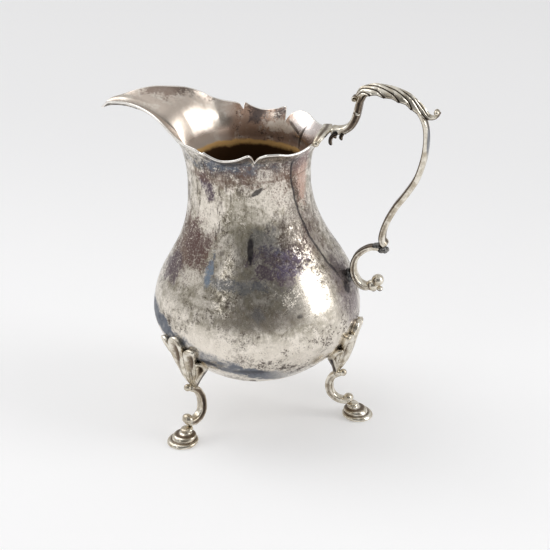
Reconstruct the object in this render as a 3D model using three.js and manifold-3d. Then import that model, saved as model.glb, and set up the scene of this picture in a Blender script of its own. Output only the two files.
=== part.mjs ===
// Silver cream jug on three legs: a raised pear-shaped body with a long drawn-out pouring lip and a
// scalloped rim, a leaf-capped S-scroll handle over a lower C-scroll, and three cast legs with shell
// knees and stepped pads. Millimetres, +Z up, the floor at Z = 0, +X towards the handle and -X towards
// the lip. Body and handle are symmetric about the XZ plane, and each leg's knee stands a few degrees
// round from its foot. Profiles are drawn about the body's own upright axis, and one group then moves
// that axis so that the object's box is centred on the origin.
import * as THREE from "three";
import { mergeVertices } from "three/addons/utils/BufferGeometryUtils.js";
import Module from "manifold-3d";

const wasm = await Module();
wasm.setup();

// ---- driving dimensions ----
const WALL = 0.8; // sheet thickness of the body
const FIT_GAP = 0.3; // clearance between pieces that are soldered together
const LIP_REACH = 47.7; // tip of the lip, from the body's axis
const HANDLE_REACH = 53.9; // curled tip of the leaf, from the body's axis
const FLOOR_TO_BASE = 15.2; // underside of the belly above the floor
const NECK_HEIGHT = 76; // narrowest ring, where the flare begins
// Azimuths of each leg's foot and of its knee, in degrees from the handle.
const LEGS = {
  handle_side: { foot: 3, knee: -4 },
  front: { foot: -120, knee: -123.5 },
  back: { foot: 120, knee: 117 },
};
const PAD_RADIUS = 4.7;
const PAD_DISTANCE = 32.3; // pad centre from the body's axis

// Belly outlines, [radius, height], from the middle of the base to the neck. The upper half of the
// body is egg-shaped in plan, wider towards the lip, so each side has its own outline at one set of
// heights.
const BELLY = [
  [0, FLOOR_TO_BASE],
  [8.6, 15.5],
  [13.4, 16.5],
  [18.7, 19],
  [23.8, 23],
  [28.6, 28],
  [31.45, 34],
  [31.4, 40],
  [29.75, 46],
  [26.7, 52],
];
const LIP_SIDE = [...BELLY, [23.6, 58], [21.6, 64], [20.6, 70], [20.45, NECK_HEIGHT]];
const HANDLE_SIDE = [...BELLY, [22.7, 58], [19.6, 64], [17.3, 70], [16.1, NECK_HEIGHT]];

// Rim stations for one half of the jug: azimuth from the handle in degrees, radius and height of the
// rim's smooth line, depth of the notch cut into it, and the flare's slope at the rim in degrees.
const RIM = [
  [0, 20.7, 93, 0, 42],
  [24, 20.5, 92.6, 0, 40],
  [36, 20.4, 91.8, 0, 38],
  [47, 20.6, 91.8, 0, 36],
  [57, 21.1, 92.6, 0, 35],
  [66, 21.3, 92.8, 0.2, 34],
  [72, 21.5, 92.7, 1.8, 34],
  [76, 21.7, 92.7, 4.6, 34],
  [80, 21.9, 92.7, 0.2, 33],
  [90, 22.2, 92, 0, 31],
  [102, 22.8, 91.7, 0, 31],
  [111, 23.6, 92.3, 0.1, 35],
  [115, 24, 92.7, 1.6, 38],
  [120, 24.1, 93, 0, 44],
  [130, 25.4, 93.9, 0, 50],
  [137, 26.6, 95.1, 0, 54],
  [144, 28.1, 97.1, 0, 54],
  [152, 29.9, 98.9, 0, 50],
  [160, 32.6, 99.8, 0, 43],
  [166, 36, 100.1, 0, 31],
  [171, 39.3, 99.5, 0, 14],
  [175.5, 43, 98.4, 0, -8],
  [178, 45.9, 97.2, 0, -26],
  [180, LIP_REACH, 94.5, 0, -45],
];

// The flare springs upright from the neck by FLARE_LIFT, by more towards the lip, and by LIP_LIFT more
// again at the lip's tip. It meets the rim along a straight run of FLARE_RUN.
const FLARE_LIFT = 7;
const FLARE_LIFT_TOWARDS_LIP = 8;
const LIP_LIFT = 3.2;
const LIP_START = 130; // azimuth in degrees where the drawn-out lip begins
const FLARE_RUN = 7;

// The middle line of the handle's S-scroll as [x, z]. The bar's widths across the jug and its
// thicknesses are spread evenly along it.
const HANDLE_LINE = [
  [22.4, 95.2],
  [24.4, 95.2],
  [26.4, 95.6],
  [28.2, 96.9],
  [29.6, 99.4],
  [30.3, 102.2],
  [30.9, 104.8],
  [32.4, 107.2],
  [35.2, 108.1],
  [38.6, 108],
  [42, 107.3],
  [45.2, 105.7],
  [47.9, 103.1],
  [49.6, 100],
  [50.3, 96.4],
  [50.2, 91.6],
  [49.3, 86.6],
  [47.8, 82.1],
  [45.1, 77.4],
  [42.2, 73],
  [39.9, 68.4],
  [38.7, 64.6],
  [38.6, 62],
  [39.8, 60.3],
];
const HANDLE_WIDTHS = [5, 4.4, 4, 3.8, 4.2, 5, 5.2, 4.8, 4.2, 3.9, 3.9, 4, 3.9, 3.8, 3.8, 4, 4.4, 3.6];
const HANDLE_THICKNESSES = [2, 2.2, 2.3, 2, 1.6, 1.5, 1.6, 1.9, 2.1, 2.1, 2.1, 2.1];
const LEAF_FIRST_POINT = 7; // the leaf lies over the handle line from this point
const LEAF_LAST_POINT = 12; // to this one
const LEAF_THICKNESS = 0.9;
const LEAF_WIDTHS = [3.6, 5.6, 6.6, 6.8, 6.2, 5, 3.8, 2.6];
const LEAF_TIP = [
  [51, 102.2],
  [52.6, 102.3],
  [HANDLE_REACH - LEAF_THICKNESS / 2, 103.7],
];
const CURL_CENTRE = [29.3, 105.2];
const CURL_RADIUS = 1.05;
const CURL_LENGTH = 1.4; // straight part of the roll, across the jug

// The saddle on the rim under the handle's root, spread evenly over its span, and the two small
// scrolls that hang from it beside the root.
const BRACKET_SPAN = 21; // degrees of rim to each side of the handle
const BRACKET_RADIUS = 20.9;
const BRACKET_HEIGHTS = [93.7, 94.3, 94.9, 94.3, 93.7];
const BRACKET_WIDTHS = [1.2, 2, 2.4, 2, 1.2];
const BRACKET_THICKNESS = 1.3;
const VOLUTE_LINE = [
  [24.6, 94.4],
  [23.4, 94],
  [22.6, 93],
  [22.8, 91.7],
];
const VOLUTE_OFFSETS = [2.3, 2.6, 2.8, 2.9]; // from the XZ plane, along the line
const VOLUTE_WIDTHS = [1.8, 1.8, 1.5, 0.8];
const VOLUTE_THICKNESS = 1;

const JOINT_CENTRE = [39.3, 0, 59];
const JOINT_RADII = [1.5, 1.7, 1.1];

const LOWER_SCROLL_LINE = [
  [38.2, 59],
  [36.9, 59.4],
  [35, 59.2],
  [32.9, 58],
  [31, 56],
  [30, 53.2],
  [30.3, 49.9],
  [32, 47.1],
  [34.2, 46.3],
  [35.4, 46.8],
];
const LOWER_SCROLL_WIDTHS = [2.6, 3, 3.2, 3.4, 3.6, 4, 4.4, 3.4];
const LOWER_SCROLL_THICKNESSES = [1.5, 1.8, 2.1, 2.1, 1.8];
const BUD_CENTRE = [37.5, 48.7];
const BUD_RADIUS = 1.9;
const LOBE_CENTRE = [38.3, 46.3];
const LOBE_RADIUS = 0.9;
const PATCH_CENTRE = [28.6, 0, 49.2];
const PATCH_RADII = [1.9, 1.8, 2.2];

// One leg, drawn pointing along +X. Each section of the shell knee, from its root to its tip, has a
// height, the distance of its ridge from the body's axis, its half width, the distance of its side
// edges from the axis, and the distance of its hollow back before it is trimmed to the belly.
const KNEE_SECTIONS = [
  [17.3, 27, 1.1, 26.5, 25.4],
  [19, 27.9, 1.9, 26.9, 24.8],
  [21.5, 29.1, 3.4, 27.2, 25.4],
  [24.5, 30.2, 5.8, 27.8, 26.8],
  [26.6, 31, 7.8, 28.9, 27.8],
  [27.9, 31.4, 8.5, 30, 28.4],
  [29.3, 31.8, 6.6, 30.8, 28.9],
  [31.6, 32.3, 7.4, 32, 29.2],
  [33.1, 32.5, 6.4, 32.4, 29.4],
  [33.9, 32.5, 3.4, 32.6, 29.4],
  [35, 32.5, 1.8, 32.6, 29.4],
  [35.7, 32.4, 0.7, 32.4, 29.4],
];
const LEG_TOP = 17; // the leg's lean towards its foot starts at this height
const LEG_LINE = [
  [27.5, 16.5],
  [26, 15.7],
  [24.4, 14.6],
  [23.2, 12.4],
  [22.8, 9.8],
  [23.5, 7.4],
  [25.3, 5.9],
  [27.4, 5.5],
  [29.3, 6.1],
  [29.9, 7.4],
];
const LEG_WIDTHS = [2.4, 2.8, 3.1, 3.2, 3.1, 3, 3.1, 3.4, 3.5, 3];
const LEG_THICKNESSES = [2, 2.4, 2.6, 2.6, 2.4, 2.2];
const PAD_LEAN = 0.5; // the pad's sides lean back towards the ankle by this much per millimetre
const PAD_OUTLINE = [
  [0, 0],
  [PAD_RADIUS, 0],
  [PAD_RADIUS, 1.1],
  [3.5, 1.8],
  [3.2, 2.7],
  [1.8, 3.3],
  [1.7, 4.1],
  [0, 4.2],
];

// ---- materials ----
const rad = THREE.MathUtils.degToRad;
const polar = (radius, angle, height) => {
  return new THREE.Vector3(radius * Math.cos(angle), radius * Math.sin(angle), height);
};
const silver = (color, roughness) => new THREE.MeshStandardMaterial({ color, roughness, metalness: 1 });
const wornSilver = silver(0xb3aba1, 0.34);
const castSilver = silver(0xbab29f, 0.38);
const solder = silver(0x6f685f, 0.55);

// ---- closed surfaces from rings ----
// A closed geometry through rings of equal length, one after another, with a point closing each end.
function ringsGeometry(rings, firstPoint, lastPoint) {
  const sides = rings[0].length;
  const points = [firstPoint, ...rings.flat(), lastPoint];
  const at = (ring, side) => 1 + ring * sides + (side % sides);
  const last = points.length - 1;
  const faces = [];
  for (let side = 0; side < sides; side++) {
    faces.push(0, at(0, side + 1), at(0, side));
    for (let ring = 0; ring + 1 < rings.length; ring++) {
      faces.push(at(ring, side), at(ring, side + 1), at(ring + 1, side + 1));
      faces.push(at(ring, side), at(ring + 1, side + 1), at(ring + 1, side));
    }
    faces.push(last, at(rings.length - 1, side), at(rings.length - 1, side + 1));
  }
  const geometry = new THREE.BufferGeometry().setFromPoints(points);
  geometry.setIndex(faces);
  return facingOut(geometry);
}

// The same closed geometry, with its faces turned round if they pointed inwards.
function facingOut(geometry) {
  const position = geometry.getAttribute("position");
  const index = geometry.index.array;
  const corner = (k) => new THREE.Vector3().fromBufferAttribute(position, index[k]);
  let volume = 0;
  for (let k = 0; k < index.length; k += 3) {
    volume += corner(k).dot(corner(k + 1).cross(corner(k + 2)));
  }
  if (volume < 0) {
    index.reverse();
  }
  geometry.computeVertexNormals();
  return geometry;
}

// ---- solids for joining and cutting ----
function solidOf(geometry) {
  const bare = geometry.clone();
  bare.deleteAttribute("normal");
  bare.deleteAttribute("uv");
  const merged = mergeVertices(bare, 1e-4);
  return new wasm.Manifold(
    new wasm.Mesh({
      numProp: 3,
      vertProperties: merged.getAttribute("position").array,
      triVerts: new Uint32Array(merged.index.array),
    }),
  );
}

function geometryOf(solid) {
  const mesh = solid.getMesh();
  const geometry = new THREE.BufferGeometry();
  geometry.setAttribute("position", new THREE.BufferAttribute(mesh.vertProperties, 3));
  geometry.setIndex(new THREE.BufferAttribute(mesh.triVerts, 1));
  geometry.computeVertexNormals();
  return geometry;
}

function cutFrom(geometry, ...solids) {
  return geometryOf(solids.reduce((rest, solid) => rest.subtract(solid), solidOf(geometry)));
}

// ---- the body's wall ----
// The uncut rim is one smooth closed curve through its stations and their mirror images.
const COLUMNS_PER_STATION = 2;
const rimStations = [...RIM, ...RIM.slice(1, -1).reverse().map((s) => [-s[0], ...s.slice(1)])];
const rimCurve = new THREE.CatmullRomCurve3(
  rimStations.map(([azimuth, radius, height]) => polar(radius, rad(azimuth), height)),
  true,
);
const COLUMNS = rimStations.length * COLUMNS_PER_STATION;
const lipSide = new THREE.SplineCurve(LIP_SIDE.map((p) => new THREE.Vector2(...p)));
const handleSide = new THREE.SplineCurve(HANDLE_SIDE.map((p) => new THREE.Vector2(...p)));

// A value of the rim table between stations, at a place round the rim from 0 to 1.
function rimValue(place, column) {
  const at = (place - Math.floor(place)) * rimStations.length;
  const from = Math.floor(at);
  const next = (from + 1) % rimStations.length;
  return THREE.MathUtils.lerp(rimStations[from][column], rimStations[next][column], at - from);
}

// The outer surface at a place round the rim and a level: 0 is the middle of the base, 1 the neck and
// 2 the uncut rim.
function wallPoint(place, level) {
  const rim = rimCurve.getPoint(place - Math.floor(place));
  const azimuth = Math.atan2(rim.y, rim.x);
  const towardsLip = (1 - Math.cos(azimuth)) / 2;
  const belly = (t) => handleSide.getPoint(t).lerp(lipSide.getPoint(t), towardsLip);
  let outline = belly(Math.min(level, 1));
  if (level > 1) {
    const slope = rad(rimValue(place, 4));
    const intoLip = Math.max(0, (Math.abs(azimuth) - rad(LIP_START)) / rad(180 - LIP_START));
    const towards = Math.abs(Math.sin(azimuth / 2));
    const lift = FLARE_LIFT + FLARE_LIFT_TOWARDS_LIP * towards + LIP_LIFT * intoLip;
    const run = new THREE.Vector2(Math.cos(slope), Math.sin(slope)).multiplyScalar(FLARE_RUN);
    const rimOutline = new THREE.Vector2(Math.hypot(rim.x, rim.y), rim.z);
    outline = new THREE.CubicBezierCurve(
      outline,
      outline.clone().add(new THREE.Vector2(0, lift)),
      rimOutline.clone().sub(run),
      rimOutline,
    ).getPoint(level - 1);
  }
  return polar(outline.x, azimuth, outline.y);
}

// The same surface moved outwards along its normal.
function offsetWallPoint(place, level, distance) {
  const step = 1e-3;
  const point = wallPoint(place, level);
  const top = Math.min(level + step, 2);
  const up = wallPoint(place, top).sub(wallPoint(place, top - 2 * step));
  const round = wallPoint(place + step, level).sub(wallPoint(place - step, level));
  return point.addScaledVector(round.cross(up).normalize(), distance);
}

// The level at which a column meets the cut rim.
function cutLevel(place) {
  const step = 0.01;
  let level = 2;
  let depth = rimValue(place, 3);
  while (depth > 0) {
    depth -= wallPoint(place, level).distanceTo(wallPoint(place, level - step));
    level -= step;
  }
  return level;
}

const BELLY_ROWS = 11;
const FLARE_ROWS = 6;
function wallRings(distance) {
  const rings = [];
  for (let row = 1; row <= BELLY_ROWS + FLARE_ROWS; row++) {
    const ring = [];
    for (let column = 0; column < COLUMNS; column++) {
      const place = column / COLUMNS;
      const flare = ((row - BELLY_ROWS) / FLARE_ROWS) * (cutLevel(place) - 1);
      const level = row <= BELLY_ROWS ? row / BELLY_ROWS : 1 + flare;
      ring.push(offsetWallPoint(place, level, distance));
    }
    rings.push(ring);
  }
  return rings;
}

function bodyGeometry() {
  const outer = wallRings(0);
  const inner = wallRings(-WALL).reverse();
  const base = new THREE.Vector3(0, 0, FLOOR_TO_BASE);
  return ringsGeometry([...outer, ...inner], base, base.clone().setZ(FLOOR_TO_BASE + WALL));
}

// The body's whole space with a clearance round it, for trimming what is soldered to it.
const bodySpace = solidOf(
  ringsGeometry(
    wallRings(FIT_GAP),
    new THREE.Vector3(0, 0, FLOOR_TO_BASE - FIT_GAP),
    new THREE.Vector3(0, 0, RIM[0][2] + FIT_GAP),
  ),
);

// ---- cast bars ----
const inPlane = (points) => new THREE.CatmullRomCurve3(points.map(([x, z]) => new THREE.Vector3(x, 0, z)));
const across = () => new THREE.Vector3(0, 1, 0);

// Values spread evenly along a curve, read at t from 0 to 1.
function spread(values, t) {
  const at = t * (values.length - 1);
  const from = Math.min(Math.floor(at), values.length - 2);
  return THREE.MathUtils.lerp(values[from], values[from + 1], at - from);
}

// A bar of rounded section along a curve, made larger all round by clearance. Widths and thicknesses
// are spread evenly along it, and sideAt gives the direction of its width at t.
function barGeometry(curve, widths, thicknesses, steps, clearance = 0, sideAt = across) {
  const sides = 8;
  const rings = [];
  const centres = [];
  for (let step = 0; step <= steps; step++) {
    const t = step / steps;
    const tangent = curve.getTangent(t);
    const beyondEnd = step === 0 ? -clearance : step === steps ? clearance : 0;
    const centre = curve.getPoint(t).addScaledVector(tangent, beyondEnd);
    centres.push(centre);
    const side = sideAt(t);
    const normal = tangent.cross(side).normalize();
    const halfWidth = spread(widths, t) / 2 + clearance;
    const halfThickness = spread(thicknesses, t) / 2 + clearance;
    const ring = [];
    for (let k = 0; k < sides; k++) {
      const angle = (2 * Math.PI * k) / sides;
      const point = centre.clone().addScaledVector(side, halfWidth * Math.cos(angle));
      ring.push(point.addScaledVector(normal, halfThickness * Math.sin(angle)));
    }
    rings.push(ring);
  }
  return ringsGeometry(rings, centres[0], centres.at(-1));
}

// ---- handle pieces ----
const handleCurve = inPlane(HANDLE_LINE);
const handleBar = (clearance) => barGeometry(handleCurve, HANDLE_WIDTHS, HANDLE_THICKNESSES, 44, clearance);

// The leaf lies along the outside of the handle's bend, then leaves it and curls up.
function leafGeometry() {
  const points = [];
  for (let k = LEAF_FIRST_POINT; k <= LEAF_LAST_POINT; k++) {
    const t = k / (HANDLE_LINE.length - 1);
    const lift = (spread(HANDLE_THICKNESSES, t) + LEAF_THICKNESS) / 2 + FIT_GAP;
    const tangent = handleCurve.getTangent(t);
    const point = handleCurve.getPoint(t);
    points.push([point.x - tangent.z * lift, point.z + tangent.x * lift]);
  }
  return barGeometry(inPlane([...points, ...LEAF_TIP]), LEAF_WIDTHS, [LEAF_THICKNESS, LEAF_THICKNESS], 20);
}

function curlGeometry() {
  const [x, z] = CURL_CENTRE;
  return new THREE.CapsuleGeometry(CURL_RADIUS, CURL_LENGTH, 4, 12).translate(x, 0, z);
}

// A saddle along the rim that carries the top of the handle.
function bracketGeometry() {
  const at = (k) => rad(BRACKET_SPAN) * ((2 * k) / (BRACKET_HEIGHTS.length - 1) - 1);
  const points = BRACKET_HEIGHTS.map((height, k) => polar(BRACKET_RADIUS, at(k), height));
  const curve = new THREE.CatmullRomCurve3(points);
  const outwards = (t) => curve.getPoint(t).setZ(0).normalize();
  return barGeometry(curve, BRACKET_WIDTHS, [BRACKET_THICKNESS, BRACKET_THICKNESS], 16, 0, outwards);
}

// A small scroll that hangs under the handle's root, on the side that sideways points to.
function rimVoluteGeometry(sideways) {
  const points = VOLUTE_LINE.map(([x, z], k) => new THREE.Vector3(x, sideways * VOLUTE_OFFSETS[k], z));
  const curve = new THREE.CatmullRomCurve3(points);
  return barGeometry(curve, VOLUTE_WIDTHS, [VOLUTE_THICKNESS, VOLUTE_THICKNESS], 8);
}

// A rounded lump of solder.
function lumpGeometry(radii, centre) {
  return new THREE.SphereGeometry(1, 14, 10).scale(...radii).translate(...centre);
}

const lowerScrollBar = (clearance) =>
  barGeometry(inPlane(LOWER_SCROLL_LINE), LOWER_SCROLL_WIDTHS, LOWER_SCROLL_THICKNESSES, 22, clearance);

function budGeometry() {
  const ball = ([x, z], radius) => solidOf(new THREE.SphereGeometry(radius, 14, 10).translate(x, 0, z));
  return geometryOf(ball(BUD_CENTRE, BUD_RADIUS).add(ball(LOBE_CENTRE, LOBE_RADIUS)));
}

// ---- leg pieces, drawn along +X ----
// The shell is a ridge that stands out from the belly, widest where its side petals are.
function kneeGeometry() {
  const rings = KNEE_SECTIONS.map(([height, ridge, half, edge, back]) => {
    const front = [-1, -0.66, -0.33, 0, 0.33, 0.66, 1].map((s) => {
      return polar(THREE.MathUtils.lerp(ridge, edge, s * s), (s * half) / ridge, height);
    });
    return [...front, polar(back, (0.6 * half) / ridge, height), polar(back, (-0.6 * half) / ridge, height)];
  });
  const middle = ([height, ridge, , , back]) => new THREE.Vector3((ridge + back) / 2, 0, height);
  return ringsGeometry(rings, middle(KNEE_SECTIONS[0]), middle(KNEE_SECTIONS.at(-1)));
}

// Leans what is drawn in the knee's plane sideways, from nothing at the leg's top to the foot's centre.
function leanToFoot(foot) {
  const lean = new THREE.Matrix4().makeShear(0, 0, 0, 0, 0, -foot.y / LEG_TOP);
  return lean.premultiply(new THREE.Matrix4().makeTranslation(0, foot.y, 0));
}

function legBar(foot, clearance) {
  const bar = barGeometry(inPlane(LEG_LINE), LEG_WIDTHS, LEG_THICKNESSES, 20, clearance);
  return bar.applyMatrix4(leanToFoot(foot));
}

function padGeometry(foot) {
  const profile = PAD_OUTLINE.map(([r, z]) => new THREE.Vector2(r, z));
  const pad = new THREE.LatheGeometry(profile, 24).rotateX(Math.PI / 2);
  const lean = new THREE.Matrix4().makeShear(0, 0, 0, 0, -PAD_LEAN, 0);
  return pad.applyMatrix4(lean).translate(foot.x, foot.y, 0);
}

// ---- assembly ----
const jug = new THREE.Group();
const aboutAxis = new THREE.Group();
aboutAxis.position.x = (LIP_REACH - HANDLE_REACH) / 2;
jug.add(aboutAxis);

function addPiece(name, geometry, material, parent = aboutAxis) {
  const mesh = new THREE.Mesh(geometry, material);
  mesh.name = name;
  parent.add(mesh);
}

const lowerScrollSpace = solidOf(lowerScrollBar(FIT_GAP));
const handleSpace = solidOf(handleBar(FIT_GAP));
const joint = lumpGeometry(JOINT_RADII, JOINT_CENTRE);
const patch = lumpGeometry(PATCH_RADII, PATCH_CENTRE);

addPiece("body", bodyGeometry(), wornSilver);
addPiece("handle_scroll", cutFrom(handleBar(0), bodySpace), castSilver);
addPiece("handle_leaf", cutFrom(leafGeometry(), handleSpace), castSilver);
addPiece("handle_curl", cutFrom(curlGeometry(), handleSpace), castSilver);
addPiece("handle_rim_bracket", cutFrom(bracketGeometry(), bodySpace, handleSpace), castSilver);
addPiece("rim_volute_front", cutFrom(rimVoluteGeometry(-1), bodySpace, handleSpace), castSilver);
addPiece("rim_volute_back", cutFrom(rimVoluteGeometry(1), bodySpace, handleSpace), castSilver);
addPiece("scroll_joint", cutFrom(joint, handleSpace, lowerScrollSpace), solder);
addPiece("lower_scroll", cutFrom(lowerScrollBar(0), bodySpace, handleSpace), castSilver);
addPiece("lower_scroll_bud", cutFrom(budGeometry(), lowerScrollSpace), castSilver);
addPiece("belly_patch", cutFrom(patch, bodySpace, lowerScrollSpace), solder);

for (const [side, azimuth] of Object.entries(LEGS)) {
  const leg = new THREE.Group();
  leg.rotation.z = rad(azimuth.knee);
  aboutAxis.add(leg);
  const foot = polar(PAD_DISTANCE, rad(azimuth.foot - azimuth.knee), 0);
  const legSpace = solidOf(legBar(foot, FIT_GAP));
  addPiece("knee_shell_" + side, cutFrom(kneeGeometry(), bodySpace, legSpace), castSilver, leg);
  addPiece("leg_scroll_" + side, cutFrom(legBar(foot, 0), bodySpace), castSilver, leg);
  addPiece("pad_foot_" + side, cutFrom(padGeometry(foot), legSpace), castSilver, leg);
}

export default jug;
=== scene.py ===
"""Looks of a worn silver cream jug on three legs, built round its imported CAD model.

Shapes are drawn in millimetres about the jug's own upright axis: +X towards the handle, -X towards the
lip, +Z up, and the floor at Z = 0. piece() moves them to the frame and turns them into metres.
"""
import math

import bpy
import numpy as np
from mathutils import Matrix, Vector, noise


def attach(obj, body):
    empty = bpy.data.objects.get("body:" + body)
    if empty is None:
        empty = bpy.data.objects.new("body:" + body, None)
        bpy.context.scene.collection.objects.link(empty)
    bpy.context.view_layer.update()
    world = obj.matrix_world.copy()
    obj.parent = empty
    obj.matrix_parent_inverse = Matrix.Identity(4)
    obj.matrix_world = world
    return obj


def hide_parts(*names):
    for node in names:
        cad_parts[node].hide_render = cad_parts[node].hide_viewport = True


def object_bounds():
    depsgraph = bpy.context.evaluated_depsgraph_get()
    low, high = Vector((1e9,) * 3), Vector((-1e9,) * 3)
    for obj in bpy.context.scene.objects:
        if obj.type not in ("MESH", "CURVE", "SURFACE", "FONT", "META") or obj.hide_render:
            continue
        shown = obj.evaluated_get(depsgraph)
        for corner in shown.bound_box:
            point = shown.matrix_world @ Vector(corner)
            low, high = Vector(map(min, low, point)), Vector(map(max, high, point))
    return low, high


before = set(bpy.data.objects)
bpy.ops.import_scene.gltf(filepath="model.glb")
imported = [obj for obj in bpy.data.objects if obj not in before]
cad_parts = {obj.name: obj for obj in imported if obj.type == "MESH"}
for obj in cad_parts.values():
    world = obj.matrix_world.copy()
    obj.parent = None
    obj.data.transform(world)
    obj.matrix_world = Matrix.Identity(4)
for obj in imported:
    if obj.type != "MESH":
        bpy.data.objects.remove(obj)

cad_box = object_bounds()

# ---- driving sizes, mm ----
MM = 0.001
LIP_REACH = 47.7  # tip of the lip, from the body's axis
AXIS_X = cad_box[0].x / MM + LIP_REACH  # the body's axis in the frame
WALL = 0.8
RIM_WALL = 0.62  # the sheet thins from the neck up
THINNED_HEIGHT = 91  # where it has come down to RIM_WALL
FLOOR_TO_BASE = 15.2
NECK_HEIGHT = 76
# azimuths of each leg's foot and knee, and how deep the grooves of its scroll are
LEGS = {"handle_side": (3, -4, 0.45), "front": (-120, -123.5, 1), "back": (120, 117, 0.8)}
PAD_DISTANCE = 32.3
PAD_LEAN = 0.5

# Belly outlines, [radius, height], from the middle of the base to the neck.
BELLY = [
    [0, FLOOR_TO_BASE], [8.6, 15.5], [13.4, 16.5], [18.7, 19], [23.8, 23], [28.6, 28],
    [31.45, 34], [31.4, 40], [29.75, 46], [26.7, 52],
]
LIP_SIDE = BELLY + [[23.6, 58], [21.6, 64], [20.6, 70], [20.45, NECK_HEIGHT]]
HANDLE_SIDE = BELLY + [[22.7, 58], [19.6, 64], [17.3, 70], [16.1, NECK_HEIGHT]]

# Rim stations for one half: azimuth from the handle, radius, height, notch depth, slope of the flare.
RIM = [
    [0, 20.7, 93, 0, 42], [24, 20.5, 92.6, 0, 40], [36, 20.4, 91.8, 0, 38], [47, 20.6, 91.8, 0, 36],
    [57, 21.1, 92.6, 0, 35], [66, 21.3, 92.8, 0.2, 34], [72, 21.5, 92.7, 1.8, 34],
    [76, 21.7, 92.7, 4.6, 34], [80, 21.9, 92.9, 0.2, 33], [90, 22.2, 91.4, 0, 31],
    [102, 22.8, 90.9, 0, 31], [111, 23.6, 92.1, 0, 35], [114, 24, 92.8, 0, 38], [115.5, 24, 92.7, 2.2, 38],
    [118, 24.1, 92.7, 0.2, 42], [121, 24.2, 93.1, 0, 45], [130, 25.4, 93.9, 0, 50], [137, 26.6, 95.1, 0, 54],
    [144, 28.1, 97.1, 0, 54], [152, 29.9, 98.9, 0, 50], [160, 32.6, 99.8, 0, 43],
    [166, 36, 100.1, 0, 31], [171, 39.3, 99.5, 0, 14], [175.5, 43, 98.2, 0, -6],
    [178, 45.9, 97.1, 0, -24], [180, LIP_REACH, 95.0, 0, -42],
]
# How far the wall stays upright above the neck before it turns out: at the handle, what the lip's side
# adds to that, and what the lip itself adds, from LIP_START (an azimuth) to its tip.
HANDLE_LIFT, SIDE_LIFT, LIP_LIFT = 7, 8, 3.2
LIP_START = 130
FLARE_RUN = 7  # how far in from the rim its slope is held

# Middle lines of the cast bars, [x, z].
HANDLE_LINE = [
    [22.4, 95.2], [24.4, 95.2], [26.4, 95.6], [28.2, 96.9], [29.6, 99.4], [30.3, 102.2],
    [30.9, 104.8], [32.4, 107.2], [35.2, 108.1], [38.6, 108], [42, 107.3], [45.2, 105.7],
    [47.9, 103.1], [49.6, 100], [50.3, 96.4], [50.2, 91.6], [49.3, 86.6], [47.8, 82.1],
    [45.1, 77.4], [42.2, 73], [39.9, 68.4], [38.7, 64.6], [38.6, 62], [39.8, 60.3],
]
HANDLE_WIDTHS = [5, 4.4, 4, 3.8, 4.2, 5, 5.2, 4.8, 4.2, 3.9, 3.9, 4, 3.9, 3.8, 3.8, 4, 4.4, 3.6]
HANDLE_THICKNESSES = [2.2, 2.4, 2.4, 2.1, 1.6, 1.5, 1.6, 1.9, 2.1, 2.1, 2.1, 2.5]
LEAF_FIRST_POINT = 6
LEAF_LAST_POINT = 12
LEAF_TIP = [[51, 102.2], [52.6, 102.3], [53.4, 103.7]]
LEAF_THICKNESS = 0.9
LEAF_FLUTES = 6
CURL_CENTRE = [29.3, 105.2]
BRACKET_SPAN = 21
BRACKET_RADIUS = 20.9
LOWER_SCROLL_LINE = [
    [38.2, 59], [36.9, 59.4], [35, 59.2], [32.9, 58], [31, 56], [30, 53.2],
    [30.3, 49.9], [32, 47.1], [34.2, 46.3], [35.4, 46.8],
]
BUD_CENTRE = [37.5, 48.7]
LEG_LINE = [
    [27.5, 16.5], [26, 15.8], [24.6, 14.7], [23.5, 12.5], [23.2, 9.9],
    [23.8, 7.4], [25.4, 5.9], [27.4, 5.5], [29.3, 6.1], [29.9, 7.4],
]
LEG_TOP = 17
# The shell knee: height, distance of its ridge from the axis, half width, distance of its side edges,
# distance of its back.
KNEE_SECTIONS = np.array([
    [15.5, 26.4, 0.8, 26.2, 25.4], [17.3, 27, 1.1, 26.5, 25.4], [19, 27.9, 1.9, 26.9, 24.6],
    [21.5, 29.1, 3.2, 27.2, 23.4], [24.5, 30.2, 5.2, 27.8, 22], [27, 31, 7.4, 29, 22],
    [28.8, 31.5, 8.2, 30.2, 24], [30, 31.9, 8.0, 31, 26], [32.4, 32.4, 7.6, 32.0, 28],
    [34, 32.5, 7.0, 32.2, 29], [35.8, 32.5, 6.4, 32.3, 29],
])
# Petals of the knee: lateral place and height of each tip, and the height where it meets the next one out.
PETAL_ROOT_HEIGHT = 15.5
PETALS = [[0, 35.6, 30.4], [6.9, 33.1, 26.8], [7.7, 28.2, 23.6]]
OUTER_PETAL_SPREAD = math.radians(9)  # from the outermost tip to that petal's edge
KNEE_WRAP_RADIUS = 30.5  # a sideways place on a knee is wrapped round the axis at this radius

NOISE_ORIGIN = Vector((3.1, 7.7, 1.3))  # where the noise field is read, so each run is the same


# ---- curves ----
def blend_four(four, u, knots):
    """A Catmull-Rom piece between the middle two of four points, with its knot spacings."""
    p0, p1, p2, p3 = four
    d0, d1, d2 = knots
    t1 = ((p1 - p0) / d0 - (p2 - p0) / (d0 + d1) + (p2 - p1) / d1) * d1
    t2 = ((p2 - p1) / d1 - (p3 - p1) / (d1 + d2) + (p3 - p2) / d2) * d1
    return p1 + t1 * u + (3 * (p2 - p1) - 2 * t1 - t2) * u * u + (2 * (p1 - p2) + t1 + t2) * u**3


def way_along(points):
    """The length along a row of points, at each of them."""
    return np.concatenate([[0], np.cumsum(np.linalg.norm(np.diff(points, axis=0), axis=1))])


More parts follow.
